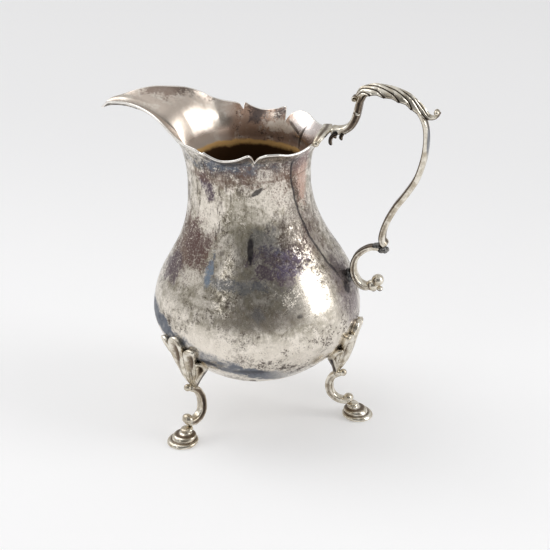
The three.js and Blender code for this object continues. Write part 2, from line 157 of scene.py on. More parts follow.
class Curve:
    """A smooth centripetal curve through points, open or closed, read at t from 0 to 1."""

    def __init__(self, points, closed=False):
        self.points = np.array(points, float)
        self.closed = closed

    def point(self, t):
        pts, count = self.points, len(self.points)
        if self.closed:
            at = (t % 1) * count
            k = int(at)
            four = [pts[(k + i) % count] for i in (-1, 0, 1, 2)]
        else:
            at = min(max(t, 0), 1) * (count - 1)
            k = min(int(at), count - 2)
            before = pts[k - 1] if k else 2 * pts[0] - pts[1]
            after = pts[k + 2] if k + 2 < count else 2 * pts[-1] - pts[-2]
            four = [before, pts[k], pts[k + 1], after]
        knots = [max(np.linalg.norm(four[i + 1] - four[i]), 1e-6) ** 0.5 for i in range(3)]
        return blend_four(four, at - k, knots)

    def tangent(self, t):
        step = 1e-3
        d = self.point(min(t + step, 1)) - self.point(max(t - step, 0))
        return d / np.linalg.norm(d)

    def even(self, count):
        """Values of t that stand at even lengths along the curve."""
        fine = np.linspace(0, 1, 400)
        along = way_along([self.point(t) for t in fine])
        return np.interp(np.linspace(0, along[-1], count), along, fine), along[-1]


def in_plane(points):
    return Curve([[x, 0, z] for x, z in points])


def spread(values, t):
    """Values spread evenly along a curve, read at t."""
    return float(np.interp(t, np.linspace(0, 1, len(values)), values))


def polar(radius, angle, height):
    return np.array([radius * math.cos(angle), radius * math.sin(angle), height])


def direction(azimuth, elevation):
    """Which way lies an azimuth, counted from the handle's side, and an elevation, in degrees."""
    rise = math.radians(elevation)
    return Vector(polar(math.cos(rise), math.radians(azimuth), math.sin(rise)))


def added(name, data):
    """A new object of the scene."""
    obj = bpy.data.objects.new(name, data)
    bpy.context.scene.collection.objects.link(obj)
    return obj


def bell(x):
    """1 at zero, falling away to nothing at about 2 on either side."""
    return math.exp(-(x**2))


def smooth(x, low, high):
    x = np.clip((x - low) / (high - low), 0, 1)
    return x * x * (3 - 2 * x)


# ---- shapes: (points, faces, recess), where recess is 0 on open metal and 1 deep in a groove, and also carries painted shade ----
def rings_shape(rings, first, last, recess):
    """A closed shape through rings of equal length, with a point closing each end."""
    rings = np.array(rings, float)
    count, sides = rings.shape[:2]
    points = np.concatenate([[first], rings.reshape(-1, 3), [last]])
    flat = np.array(recess, float).reshape(-1)
    ends = [flat[:sides].mean()], [flat[-sides:].mean()]
    faces = []
    for side in range(sides):
        after = (side + 1) % sides
        faces.append((0, 1 + after, 1 + side))
        tail = 1 + (count - 1) * sides
        faces.append((len(points) - 1, tail + side, tail + after))
        for ring in range(count - 1):
            a, b = 1 + ring * sides, 1 + (ring + 1) * sides
            faces.append((a + side, a + after, b + after, b + side))
    return facing_out(points, faces), np.concatenate([ends[0], flat, ends[1]])


def facing_out(points, faces):
    """The points and faces, turned round if the closed shape they make is inside out."""
    fans = np.array([(f[0], f[i], f[i + 1]) for f in faces for i in range(1, len(f) - 1)])
    a, b, c = (points[fans[:, i]] - points.mean(0) for i in range(3))
    volume = (a * np.cross(b, c)).sum()
    return points, [tuple(reversed(f)) for f in faces] if volume < 0 else faces


BAR_SIDES = 40  # points round a cast bar
BAR_SQUARENESS = 2.6  # 2 is an oval section, and more is squarer
UNDERSIDE_PAINTED_SHADE = 0.55  # how much painted shade darkens a bar's underside
GROOVE_DARKNESS = 2.4


def section(side_groove, top_groove, under_groove, painted_under_shade):
    """A bar's cross-section as (across, normal, recess) rows from -1 to 1, grooved on the sides asked for,
    with painted shade on its underside.
    """
    rows = []
    for k in range(BAR_SIDES):
        angle = math.tau * k / BAR_SIDES
        c, s = math.cos(angle), math.sin(angle)
        a = math.copysign(abs(c) ** (2 / BAR_SQUARENESS), c)
        n = math.copysign(abs(s) ** (2 / BAR_SQUARENESS), s)
        if abs(a) > abs(n) * 0.9:
            half_width = 0.55 + 0.8 * side_groove
            hollow = side_groove * max(0.0, 1 - (n / half_width) ** 2) ** 1.5
            a -= math.copysign(hollow, a)
        else:
            groove = top_groove if n > 0 else under_groove
            hollow = groove * max(0.0, 1 - (a / 0.66) ** 2) ** 1.5
            n -= math.copysign(hollow, n)
        # painted shade: the underside, where the bar faces down, is darkened
        patina_and_shade = painted_under_shade * min(1.0, max(0.0, -n - 0.3) / 0.4)
        rows.append((a, n, min(1.0, max(hollow * GROOVE_DARKNESS, patina_and_shade))))
    return np.array(rows)


def sweep(curve, widths, thickness, count, grooves=((0, 0, 0),), round_ends=0.7, across=None, lean=None,
          patina_and_shade=UNDERSIDE_PAINTED_SHADE):
    """A cast bar along a curve, with painted shade on its underside. grooves are (side, top, under) depths
    spread along it.
    """
    ts, length = curve.even(count)
    thick = [thickness] if np.isscalar(thickness) else thickness
    rings, recess = [], []
    for t, way in zip(ts, np.linspace(0, length, count)):
        centre = curve.point(t)
        side = np.array([0.0, 1, 0]) if across is None else across(t)
        normal = np.cross(curve.tangent(t), side)
        normal /= np.linalg.norm(normal)
        near_end = min(way, length - way, round_ends) / round_ends
        scale = math.sqrt(max(1 - (1 - near_end) ** 2, 0.02))
        g = [spread([row[i] for row in grooves], t) for i in range(3)]
        rows = section(*g, patina_and_shade)
        half_w, half_t = spread(widths, t) / 2 * scale, spread(thick, t) / 2 * scale
        rings.append(centre + rows[:, :1] * side * half_w + rows[:, 1:2] * normal * half_t)
        recess.append(rows[:, 2])
    shape = rings_shape(rings, curve.point(0), curve.point(1), recess)
    return leaned(shape, lean) if lean else shape


def evenly_darkened(shape, amount):
    """The same shape, darkened all over as if it were that much deeper in a groove."""
    geometry, recess = shape
    return geometry, np.minimum(1, np.array(recess) + amount)


def leaned(shape, move):
    """The same shape with each of its points moved."""
    (points, faces), recess = shape
    return (np.array([move(p) for p in points]), faces), recess


BLOB_ROWS, BLOB_SIDES = 20, 32


def blob(centre, radii, bumps=0.0, bump_size=1.0, groove=None):
    """A rounded lump. groove is (axis, depth, half width, place) of one dark line round it."""
    centre, radii = np.array(centre, float), np.array(radii, float)
    rings, recess = [], []
    for i in range(1, BLOB_ROWS):
        polar_angle = math.pi * i / BLOB_ROWS
        ring, dark = [], []
        for k in range(BLOB_SIDES):
            angle = math.tau * k / BLOB_SIDES
            d = polar(math.sin(polar_angle), angle, math.cos(polar_angle))
            size, deep = 1.0, 0.0
            if groove:
                axis, depth, half_width, at = groove
                deep = bell((d[axis] - at) / half_width)
                size -= depth * deep
            if bumps:
                size += bumps * noise.noise(Vector((centre + d * radii) / bump_size) + NOISE_ORIGIN)
            ring.append(centre + d * radii * size)
            dark.append(deep)
        rings.append(ring)
        recess.append(dark)
    pole = np.array([0, 0, radii[2]])
    return rings_shape(rings, centre + pole, centre - pole, recess)


# ---- the body's wall ----
PER_STATION = 6
BELLY_ROWS = 64
FLARE_ROWS = 46
# the line cut round the neck
SCRIBED_HEIGHT, SCRIBED_HALF_WIDTH, SCRIBED_DEPTH = 83.2, 0.28, 0.1
# the hammer's marks: how wide they are and how deep, for the broad ones and the small ones
HAMMER_MARKS = [(13.0, 0.16), (4.5, 0.035)]
stations = RIM + [[-s[0]] + s[1:] for s in reversed(RIM[1:-1])]
COLUMNS = len(stations) * PER_STATION


def outline_rows(points, count):
    """An outline read at count + 1 even steps of its parameter, as a uniform curve with held ends."""
    pts = np.array(points, float)
    rows = []
    for t in np.linspace(0, 1, count + 1):
        at = t * (len(pts) - 1)
        k = min(int(at), len(pts) - 2)
        four = [pts[max(k - 1, 0)], pts[k], pts[k + 1], pts[min(k + 2, len(pts) - 1)]]
        rows.append(blend_four(four, at - k, (1, 1, 1)))
    return np.array(rows)


def bezier(p0, p1, p2, p3, t):
    t = t[:, None]
    return (1 - t) ** 3 * p0 + 3 * (1 - t) ** 2 * t * p1 + 3 * (1 - t) * t * t * p2 + t**3 * p3


def wall_grid():
    """The outer surface as a grid of rows from near the base to the cut rim, by columns round the jug."""
    rim = Curve([polar(s[1], math.radians(s[0]), s[2]) for s in stations], closed=True)
    lip_rows = outline_rows(LIP_SIDE, BELLY_ROWS)
    handle_rows = outline_rows(HANDLE_SIDE, BELLY_ROWS)
    fine = np.linspace(0, 1, 400)
    grid = np.zeros((BELLY_ROWS + FLARE_ROWS, COLUMNS, 3))
    for column in range(COLUMNS):
        place = column / COLUMNS
        at = place * len(stations)
        here, following = stations[int(at)], stations[(int(at) + 1) % len(stations)]
        share = at - int(at)
        notch, slope = [here[i] + (following[i] - here[i]) * share for i in (3, 4)]
        edge = rim.point(place)
        azimuth = math.atan2(edge[1], edge[0])
        to_lip = (1 - math.cos(azimuth)) / 2
        belly = handle_rows + (lip_rows - handle_rows) * to_lip
        neck = belly[-1]
        top = np.array([math.hypot(edge[0], edge[1]), edge[2]])
        in_lip = max(0, (abs(math.degrees(azimuth)) - LIP_START) / (180 - LIP_START))
        lift = HANDLE_LIFT + SIDE_LIFT * abs(math.sin(azimuth / 2)) + LIP_LIFT * in_lip
        run = FLARE_RUN * np.array([math.cos(math.radians(slope)), math.sin(math.radians(slope))])
        flare = bezier(neck, neck + [0, lift], top - run, top, fine)
        end = np.interp(notch + RIM_WALL / 2, way_along(flare[::-1]), fine[::-1])
        steps = np.linspace(0, end, FLARE_ROWS + 1)[1:]
        upper = np.stack([np.interp(steps, fine, flare[:, i]) for i in (0, 1)], 1)
        outline = np.concatenate([belly[1:], upper])
        grid[:, column] = polar(outline[:, 0], azimuth, outline[:, 1]).T
    return grid


def grid_frames(grid):
    """The outward normal and the upward direction at each point of a grid that closes round."""
    up = np.gradient(grid, axis=0)
    round_ = np.roll(grid, -1, axis=1) - np.roll(grid, 1, axis=1)
    up /= np.linalg.norm(up, axis=2, keepdims=True)
    normal = np.cross(round_, up)
    normal /= np.linalg.norm(normal, axis=2, keepdims=True)
    return normal, up


def planished(grid, normal):
    """The faint unevenness of sheet raised with a hammer, and the line cut round the neck."""
    moved = grid.copy()
    for row in range(grid.shape[0]):
        for column in range(grid.shape[1]):
            p = grid[row, column]
            dent = sum(depth * noise.noise(Vector(p / size) + NOISE_ORIGIN) for size, depth in HAMMER_MARKS)
            moved[row, column] += normal[row, column] * dent
    line = np.exp(-(((grid[..., 2] - SCRIBED_HEIGHT) / SCRIBED_HALF_WIDTH) ** 2))
    return moved - normal * (SCRIBED_DEPTH * line)[..., None], line


POLISHED = -1  # the recess value of edges that are rubbed bright
RIM_STEPS = 6  # faces across the rounded cut edge


def body_shape():
    """The wall as one closed shape, and for each face 1 if it belongs to the inside."""
    flat = wall_grid()
    normal, up = grid_frames(flat)
    outer, line = planished(flat, normal)
    thickness = WALL + (RIM_WALL - WALL) * smooth(flat[..., 2], NECK_HEIGHT, THINNED_HEIGHT)
    inner = outer - normal * thickness[..., None]
    edge_rows = []
    middle, half = (outer[-1] + inner[-1]) / 2, (outer[-1] - inner[-1]) / 2
    reach = np.linalg.norm(half, axis=1, keepdims=True)
    for angle in np.linspace(0, math.pi, RIM_STEPS + 1)[1:-1]:
        edge_rows.append(middle + half * math.cos(angle) + up[-1] * reach * math.sin(angle))
    rings = np.concatenate([outer, edge_rows, inner[::-1]])
    recess = np.zeros(rings.shape[:2])
    recess[: len(outer)] = line
    recess[len(outer) - 1 : len(outer) + len(edge_rows) + 1] = POLISHED
    base = np.array([0, 0, FLOOR_TO_BASE])
    (points, faces), recess = rings_shape(rings, base, base + [0, 0, WALL], recess)
    first_inside = 1 + (len(outer) + len(edge_rows) - 1) * COLUMNS
    return ((points, faces), recess), [int(min(f) >= first_inside) for f in faces]


# ---- handle pieces ----
handle_curve = in_plane(HANDLE_LINE)


def handle_bar():
    grooves = [
        (0.08, 0, 0), (0.16, 0, 0), (0.34, 0.1, 0), (0.34, 0.1, 0), (0.2, 0, 0), (0.1, 0, 0),
        (0.02, 0.2, 0), (0.02, 0.34, 0.1), (0.05, 0, 0.2), (0.06, 0.1, 0.1), (0.1, 0.2, 0),
        (0.16, 0.3, 0), (0.1, 0.2, 0),
    ]
    return sweep(handle_curve, HANDLE_WIDTHS, HANDLE_THICKNESSES, 260, grooves)


def riser_collar():
    """A little band across the riser, with the darker grooves above and below it."""
    curve = Curve([[30.05, -1.95, 101.1], [30.25, 0, 101.3], [30.05, 1.95, 101.1]])
    return sweep(curve, [0.8, 1.0, 0.8], 1.9, 24, across=lambda t: np.array([0.25, 0, 0.97]), round_ends=0.4)


def leaf_shape():
    """Overlapping lobes that sweep from the leaf's spine to its scalloped edges, ending in a curled tip."""
    points = []
    for k in range(LEAF_FIRST_POINT, LEAF_LAST_POINT + 1):
        t = k / (len(HANDLE_LINE) - 1)
        lift = (spread(HANDLE_THICKNESSES, t) + LEAF_THICKNESS) / 2 + 0.35
        tangent, point = handle_curve.tangent(t), handle_curve.point(t)
        points.append([point[0] - tangent[2] * lift, point[2] + tangent[0] * lift])
    curve = in_plane(points + LEAF_TIP)
    rows, sides = 220, 61
    ts, _ = curve.even(rows)
    vs = np.linspace(-1, 1, sides)
    rings, recess = [], []
    widths = [3.6, 5.4, 6.4, 6.9, 7.0, 6.4, 5.4, 4.3, 3.3, 2.6]
    for i, t in enumerate(ts):
        s = i / (rows - 1)
        tangent = curve.tangent(t)
        normal = np.array([-tangent[2], 0, tangent[0]])
        end = math.sqrt(max(0.03, 1 - max(0, (s - 0.95) / 0.05) ** 2)) * math.sqrt(max(0.1, min(1, s / 0.04)))
        fade = smooth(s, 0.0, 0.1) * (1 - smooth(s, 0.86, 0.94))
        lobe_edge = abs(math.sin(math.pi * LEAF_FLUTES * (s - 0.30)))
        half = spread(widths, s) / 2 * end * (1 - 0.13 * fade * (1 - lobe_edge**0.6))
        droop = 1.9 * math.sin(math.pi * min(1, s * 0.55 + 0.22)) * (1 - smooth(s, 0.78, 0.95)) + 0.25
        top, dark = [], []
        for v in vs:
            phase = LEAF_FLUTES * (s - 0.42 * abs(v) ** 0.85 + 0.04)
            f = phase - math.floor(phase)
            ridge = math.sin(math.pi * f**0.75) ** 0.6
            keep = fade * smooth(abs(v), 0.0, 0.14)
            valley = bell(min(f, 1 - f) / 0.09) * keep
            spine = 0.28 * bell(v / 0.16) * (1 - smooth(s, 0.8, 0.95))
            height = 0.36 * ridge * keep + spine - droop * abs(v) ** 2.2
            top.append(curve.point(t) + np.array([0, 1, 0]) * half * v + normal * height)
            dark.append(valley)
        under = [p - normal * LEAF_THICKNESS * (1 - 0.55 * abs(v)) for p, v in zip(top, vs)]
        rings.append(top + under[::-1])
        # the leaf's underside is darkened, as painted shade
        recess.append(dark + [0.6] * sides)
    first, last = np.mean(rings[0], axis=0), np.mean(rings[-1], axis=0)
    return rings_shape(rings, first, last, recess)


def leaf_tip_roll():
    return blob([52.95, 0, 103.25], [0.9, 1.5, 0.95], groove=(1, 0.35, 0.2, 0.0))


def spiral(centre, start_radius, end_radius, start_angle, turns, width, thickness):
    """A little rolled volute, seen edge on from the side of the jug."""
    points = []
    for k in range(15):
        share = k / 14
        angle = math.radians(start_angle) + math.tau * turns * share
        radius = start_radius + (end_radius - start_radius) * share
        points.append([centre[0] + radius * math.cos(angle), centre[1] + radius * math.sin(angle)])
    return sweep(in_plane(points), [width, width * 1.05, width * 0.9], thickness, 60, round_ends=0.3)


def curl_shapes():
    return [
        spiral(CURL_CENTRE, 1.05, 0.35, -40, 1.2, 2.6, 0.5),
        blob([CURL_CENTRE[0], 0, CURL_CENTRE[1]], [0.5, 1.5, 0.5]),
    ]


def bracket_shapes():
    """A saddle that arches along the rim under the top of the handle, scrolled at both ends."""
    steps = [-1, -0.8, -0.5, 0, 0.5, 0.8, 1]
    heights = [92.9, 93.9, 94.7, 94.9, 94.7, 93.9, 92.9]
    places = [polar(BRACKET_RADIUS, math.radians(s * BRACKET_SPAN), h) for s, h in zip(steps, heights)]
    curve = Curve(places)

    def outwards(t):
        d = curve.point(t) * [1, 1, 0]
        return -d / np.linalg.norm(d)

    strap = sweep(curve, [1.7, 2.4, 3.1, 3.4, 3.1, 2.4, 1.7], 1.2, 90, [(0.1, 0.2, 0.2)] * 2, across=outwards)
    ends = [blob(curve.point(t) + [0.1, 0, 0.1], [1.0, 0.9, 0.9]) for t in (0.02, 0.98)]
    return [strap] + ends


def rim_volute(sideways):
    """A small pointed tab that hangs beside the handle's root."""
    line = [[24.9, 94.9], [23.9, 94.6], [23.1, 93.6], [22.9, 92.3], [23.3, 91.4]]
    offsets = [2.1, 2.4, 2.7, 2.8, 2.8]
    curve = Curve([[x, sideways * y, z] for (x, z), y in zip(line, offsets)])
    outer = Curve([[26.4, sideways * 1.9, 95.0], [25.9, sideways * 2.3, 94], [26.3, sideways * 2.5, 93.1]])
    grooves = [(0.2, 0.25, 0)] * 2
    return [
        evenly_darkened(sweep(curve, [2, 2.4, 2.1, 1.5, 0.5], [1.4, 1.3, 1.1, 0.8], 40, grooves, 0.5), 0.4),
        evenly_darkened(sweep(outer, [1.9, 1.8, 0.6], [1.3, 1.1, 0.6], 26, grooves, 0.5), 0.4),
    ]


def joint_shapes():
    return [
        blob([38.9, 0, 59.0], [1.6, 1.8, 1.1], bumps=0.35, bump_size=0.9),
        blob([37.0, 0, 60.0], [1.7, 1.5, 0.65], bumps=0.35, bump_size=0.8),
    ]


def lower_scroll_shape():
    grooves = [
        (0.05, 0, 0.1), (0.1, 0, 0.25), (0.18, 0.05, 0.3), (0.18, 0.05, 0.3), (0.16, 0, 0.3), (0.1, 0, 0.2),
    ]
    widths = [2.6, 3, 3.2, 3.4, 3.6, 4, 4.4, 3.8]
    return sweep(in_plane(LOWER_SCROLL_LINE), widths, [1.5, 1.8, 2.1, 2.1, 1.8], 150, grooves)


def bud_shapes():
    x, z = BUD_CENTRE
    return [
        blob([x, 0, z], [1.85, 2.05, 1.8]),
        blob([x - 1.6, 0, z - 1.9], [2.0, 1.9, 1.7]),
        blob([x - 1.2, 0, z - 3.2], [1.0, 1.2, 0.7], groove=(2, 0.1, 0.5, -0.6)),
        blob([x + 0.7, 0, z - 2.8], [0.95, 1.15, 0.8], groove=(2, 0.1, 0.5, -0.6)),
    ]


def patch_shapes():
    return [blob([28.6, 0, 49.2], [1.6, 1.6, 2.2], bumps=0.3, bump_size=1.2)]


# ---- leg pieces, drawn along +X ----
KNEE_COLUMNS, KNEE_ROWS = 121, 40


def knee_at(height):
    """The knee's ridge distance, half width, side edges' distance and back distance at a height."""
    return [np.interp(height, KNEE_SECTIONS[:, 0], KNEE_SECTIONS[:, i]) for i in (1, 2, 3, 4)]


def knee_petals():
    """The petals' tips as (angle from the root, reach), their outer edges' angles, and the reach where
    each one meets the next."""
    tips = []
    for lateral, height, _ in PETALS:
        rise = height - PETAL_ROOT_HEIGHT
        tips.append((math.atan2(lateral, rise), math.hypot(lateral, rise)))
    edges = [(tips[0][0] + tips[1][0]) / 2, (tips[1][0] + tips[2][0]) / 2, tips[2][0] + OUTER_PETAL_SPREAD]
    return tips, edges, [meet - PETAL_ROOT_HEIGHT for _, _, meet in PETALS]


def knee_shape():
    """A lobed shell, fanned out from its root in columns that run up each petal to its edge."""
    tips, edges, meets = knee_petals()
    belly_rows = outline_rows(BELLY, 60)
    rings, recess = [], []
    for column in range(KNEE_COLUMNS):
        u = -1 + 2 * column / (KNEE_COLUMNS - 1)
        angle = abs(u) * edges[-1]
        which = 0 if angle <= edges[0] else 1 if angle <= edges[1] else 2
        tip_angle, tip_reach = tips[which]
        # w runs from the petal's middle, 0, to the valley beside it, 1 or -1
        if angle < tip_angle:
            w = (angle - tip_angle) / (tip_angle - edges[which - 1])
            valley = meets[which - 1]
        else:
            w = (angle - tip_angle) / (edges[which] - tip_angle)
            valley = meets[which]
        valley /= math.cos(angle)
        round_ = math.sqrt(max(0.0, 1 - w * w))
        reach = valley + (tip_reach - valley) * round_
        ring_front, ring_back, dark = [], [], []
        for v in np.linspace(0, 1, KNEE_ROWS):
            out = v * reach
            side = math.copysign(out * math.sin(angle), u) + u * (1 - v)
            height = PETAL_ROOT_HEIGHT + out * math.cos(angle)
            ridge, half, side_edge, furthest_back = knee_at(height)
            base = ridge + (side_edge - ridge) * min(1.2, (side / half) ** 2)
            along = out / tip_reach
            spoon = bell(math.hypot(w / 0.46, (along - 0.76) / 0.15))
            channel = bell(w / 0.4) * smooth(along, 0.1, 0.35) * (1 - smooth(along, 0.6, 0.8))
            crown = 0.95 * round_**0.7 * smooth(along, 0.0, 0.35)
            tip = 0.35 * smooth(v, 0.8, 1.0) * round_
            edge_round = 0.45 * (1 - math.sqrt(max(0, 1 - smooth(v, 0.93, 1.0) ** 2)))
            front = base - 0.25 + crown + tip - 1.7 * spoon - 0.3 * channel - edge_round
            # thin low down, where the shell stands free, and thicker where it lies on the belly
            thickness = 0.8 + 1.3 * smooth(height, 22.5, 26)
            belly = float(np.interp(height, belly_rows[:, 1], belly_rows[:, 0]))
            back = max(furthest_back, belly - 0.35, front - thickness)
            back = min(back, front - 0.35)
            ring_front.append(polar(front, side / KNEE_WRAP_RADIUS, height))
            ring_back.append(polar(back, side / KNEE_WRAP_RADIUS, height))
            groove = (1 - smooth(round_, 0.0, 0.45)) * smooth(along, 0.05, 0.2)
            dark.append(min(1, 0.9 * groove + 0.6 * spoon + 0.3 * channel))
        rings.append(ring_front + ring_back[::-1])
        # the back of the shell, towards the belly, is darkened, as painted shade
        recess.append(dark + [0.25] * KNEE_ROWS)
    return rings_shape(rings, np.mean(rings[0], axis=0), np.mean(rings[-1], axis=0), recess)


def leg_shapes(foot, depth):
    """The scroll of a leg whose foot stands beside its knee's line, with its grooves that deep."""
    def lean_to_foot(p):
        return p + np.array([0, foot[1] * (1 - p[2] / LEG_TOP), 0])

    grooves = [(0.1, 0, 0), (0.26, 0.1, 0), (0.34, 0.12, 0), (0.32, 0.1, 0), (0.2, 0, 0), (0, 0, 0)]
    grooves = [(side * depth, top * depth, 0) for side, top, _ in grooves]
    widths = [2.4, 2.8, 3.1, 3.2, 3.1, 3, 3.1, 3.4, 3.5, 3]
    # the legs' scrolls get only a little painted shade on their undersides
    bar = sweep(in_plane(LEG_LINE), widths, [2, 2.4, 2.6, 2.6, 2.4, 2.2], 120, grooves, lean=lean_to_foot,
                patina_and_shade=0.15)
    knuckle = leaned(blob([29.2, 0, 6.8], [1.6, 1.9, 1.5]), lean_to_foot)
    bead = blob([28, 0, 16.7], [1.15, 1.15, 1.15])
    return [bar, knuckle, bead]


def pad_shape(foot):
    """A turned, stepped pad that leans back towards the ankle."""
    profile = Curve([
        [0.4, 0, 0], [3, 0, 0], [4.35, 0, 0.02], [4.68, 0, 0.3], [4.7, 0, 0.8], [4.45, 0, 1.15],
        [3.85, 0, 1.3], [3.62, 0, 1.42], [3.62, 0, 1.9], [3.45, 0, 2.4], [3.1, 0, 2.62], [2.3, 0, 2.75],
        [1.85, 0, 3.0], [1.6, 0, 3.3], [1.75, 0, 3.65], [1.95, 0, 3.95], [1.7, 0, 4.3], [0.9, 0, 4.5],
    ])
    step_corners = [(1.36, 0.16), (2.75, 0.22)]  # heights and half widths of the dark lines, painted shade in the steps' corners
    sides = 64
    rings, recess = [], []
    for t in np.linspace(0, 1, 90):
        radius, _, height = profile.point(t)
        dark = 0.5 * sum(bell((height - at) / half_width) for at, half_width in step_corners)
        lean = [PAD_LEAN * height, 0, 0]
        rings.append([polar(radius, math.tau * k / sides, height) + foot - lean for k in range(sides)])
        recess.append([min(1, dark)] * sides)
    top = profile.point(1)[2]
    return rings_shape(rings, foot, foot + [-PAD_LEAN * top, 0, top], recess)


# ---- placing ----
def piece(name, shapes, finish, turn=0.0, face_materials=None):
    """One visible piece from closed shapes, standing for the CAD node of the same name. finish is its
    materials and a slot name, which is not used."""
    materials, slot = finish
    points, faces, recess = [], [], []
    for (pts, fcs), dark in shapes:
        start = len(points)
        points.extend(pts)
        faces.extend(tuple(start + i for i in f) for f in fcs)
        recess.extend(dark)
    c, s = math.cos(turn), math.sin(turn)
    points = np.array(points)
    placed = np.stack([
        points[:, 0] * c - points[:, 1] * s + AXIS_X,
        points[:, 0] * s + points[:, 1] * c,
        points[:, 2],
    ], 1) * MM
    mesh = bpy.data.meshes.new(name + "_look")
    mesh.from_pydata([tuple(p) for p in placed], [], faces)
    mesh.polygons.foreach_set("use_smooth", [True] * len(faces))
    mesh.attributes.new("recess", "FLOAT", "POINT").data.foreach_set("value", np.array(recess, np.float32))
    for m in materials:
        mesh.materials.append(m)
    if face_materials:
        mesh.polygons.foreach_set("material_index", face_materials)
    mesh.validate()
    mesh.update()
    obj = added(name + "_look", mesh)
    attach(obj, "root")
    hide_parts(name)


# ---- materials ----
def srgb(r, g, b):
    def linear(v):
        v /= 255
        return v / 12.92 if v <= 0.04045 else ((v + 0.055) / 1.055) ** 2.4

    return (linear(r), linear(g), linear(b), 1)


STAIN_DEPTH = 9  # how far a stain reaches through the metal on either side of its place


class Graph:
    """A short way to write a node material that reads places in millimetres about the jug's axis."""

    def __init__(self, name):
        self.material = bpy.data.materials.new(name)
        self.material.use_nodes = True
        self.tree = self.material.node_tree
        self.shader = self.tree.nodes["Principled BSDF"]
        where = self.node("ShaderNodeTexCoord").outputs["Object"]
        self.place = self.mapped(where, "TEXTURE", Location=(AXIS_X * MM, 0, 0), Scale=(MM, MM, MM))
        self.x, self.y, self.z = self.made("ShaderNodeSeparateXYZ", Vector=self.place)
        self.grit = self.noise(1.7, 5, 0.8, shift=2)

    def node(self, kind):
        return self.tree.nodes.new(kind)

    def made(self, kind, **sockets):
        """The outputs of a new node whose sockets are linked or set."""
        n = self.node(kind)
        for name, value in sockets.items():
            self.link(value, n.inputs[name])
        return n.outputs

    def link(self, value, socket):
        if isinstance(value, bpy.types.NodeSocket):
            self.tree.links.new(value, socket)
        else:
            socket.default_value = value

    def math(self, kind, a, b=0, clamp=False):
        n = self.node("ShaderNodeMath")
        n.operation, n.use_clamp = kind, clamp
        self.link(a, n.inputs[0])
        self.link(b, n.inputs[1])
        return n.outputs[0]

    def times(self, a, b):
        return self.math("MULTIPLY", a, b)

    def plus(self, a, b):
        return self.math("ADD", a, b)

    def minus(self, a, b, clamp=False):
        return self.math("SUBTRACT", a, b, clamp)

    def swing(self, wander, width):
        """A noise brought to swing about zero."""
        return self.times(self.minus(wander, 0.5), width)

    def mapped(self, place, kind, **values):
        """A place moved, turned and scaled by a mapping node."""
        outputs = self.made("ShaderNodeMapping", Vector=place, **values)
        outputs[0].node.vector_type = kind
        return outputs[0]

    def noise(self, scale, detail, rough, distort=0, stretch=None, shift=0):
        place = self.place
        if stretch or shift:
            place = self.mapped(place, "POINT", Scale=stretch or (1, 1, 1), Location=(shift, shift, shift))
        settings = {"Scale": scale, "Detail": detail, "Roughness": rough, "Distortion": distort}
        return self.made("ShaderNodeTexNoise", Vector=place, **settings)["Fac"]

    def ramp(self, value, low, high, to_low=0, to_high=1, kind="SMOOTHSTEP"):
        n = self.node("ShaderNodeMapRange")
        n.interpolation_type = kind
        for i, v in enumerate((value, low, high, to_low, to_high)):
            self.link(v, n.inputs[i])
        return n.outputs[0]

    def between(self, value, start, full, fade, end):
        """1 from full to fade, and 0 before start and after end."""
        return self.times(self.ramp(value, start, full), self.ramp(value, end, fade))

    def mix(self, factor, a, b):
        n = self.node("ShaderNodeMix")
        n.data_type = "RGBA"
        self.link(factor, n.inputs[0])
        self.link(a, n.inputs[6])
        self.link(b, n.inputs[7])
        return n.outputs[2]

    def spot(self, azimuth, radius, height, size, ragged, soft, tilt=0):
        """A stain, or one of the painted reflections, centred on a place of the body, 1 inside and 0 outside,
        size (across, up) in mm.
        """
        around = math.radians(azimuth)
        place = self.mapped(
            self.place, "TEXTURE", Location=tuple(polar(radius, around, height)),
            Rotation=(math.radians(tilt), 0, around), Scale=(STAIN_DEPTH, *size),
        )
        n = self.node("ShaderNodeVectorMath")
        n.operation = "LENGTH"
        self.link(place, n.inputs[0])
        wander = self.noise(0.25, 6, 0.68, 0.3, shift=azimuth * 0.37 + height)
        waver = self.plus(self.swing(wander, ragged * 3.4), self.swing(self.grit, ragged * 2.2))
        distance = self.plus(n.outputs["Value"], waver)
        return self.ramp(distance, 1 + soft / 2, 1 - soft / 2)

    def grey(self, colour):
        return self.made("ShaderNodeRGBToBW", Color=colour)[0]

    def recess(self):
        n = self.node("ShaderNodeAttribute")
        n.attribute_name = "recess"
        return n.outputs["Fac"]

    def bump(self, height, strength, distance):
        bumped = self.made("ShaderNodeBump", Strength=strength, Distance=distance * MM, Height=height)
        self.link(bumped[0], self.shader.inputs["Normal"])

    def finish(self, colour, roughness, metallic=1):
        self.link(colour, self.shader.inputs["Base Color"])
        self.link(roughness, self.shader.inputs["Roughness"])
        self.link(metallic, self.shader.inputs["Metallic"])
        return self.material


CREAM = srgb(236, 228, 216)
OLIVE = srgb(166, 158, 142)
BROWN = srgb(120, 98, 87)
PURPLE = srgb(94, 80, 92)
SLATE = srgb(92, 100, 114)
PAINTED_BLUE_REFLECTION = srgb(128, 148, 172)
VIOLET = srgb(94, 87, 116)
PINK = srgb(206, 170, 154)
DARK = srgb(46, 43, 48)
WINE = srgb(106, 84, 82)
UMBER = srgb(84, 73, 66)
MOSS = srgb(136, 130, 112)
RUBBED = srgb(246, 242, 236)


def speckled(g, colour, dark, amount, scale, strength=0.8):
    """Fine grains of darker tarnish, with amount from 0 to 1 saying how much they cover."""
    grains = g.noise(scale, 4, 0.8)
    patchy = g.noise(scale * 0.22, 5, 0.7, shift=5)
    both = g.plus(g.times(grains, 0.55), g.times(patchy, 0.45))
    level = g.minus(0.72, g.times(amount, 0.32))
    mask = g.ramp(g.minus(both, level), -0.015, 0.035)
    return g.mix(g.times(mask, strength), colour, dark), mask


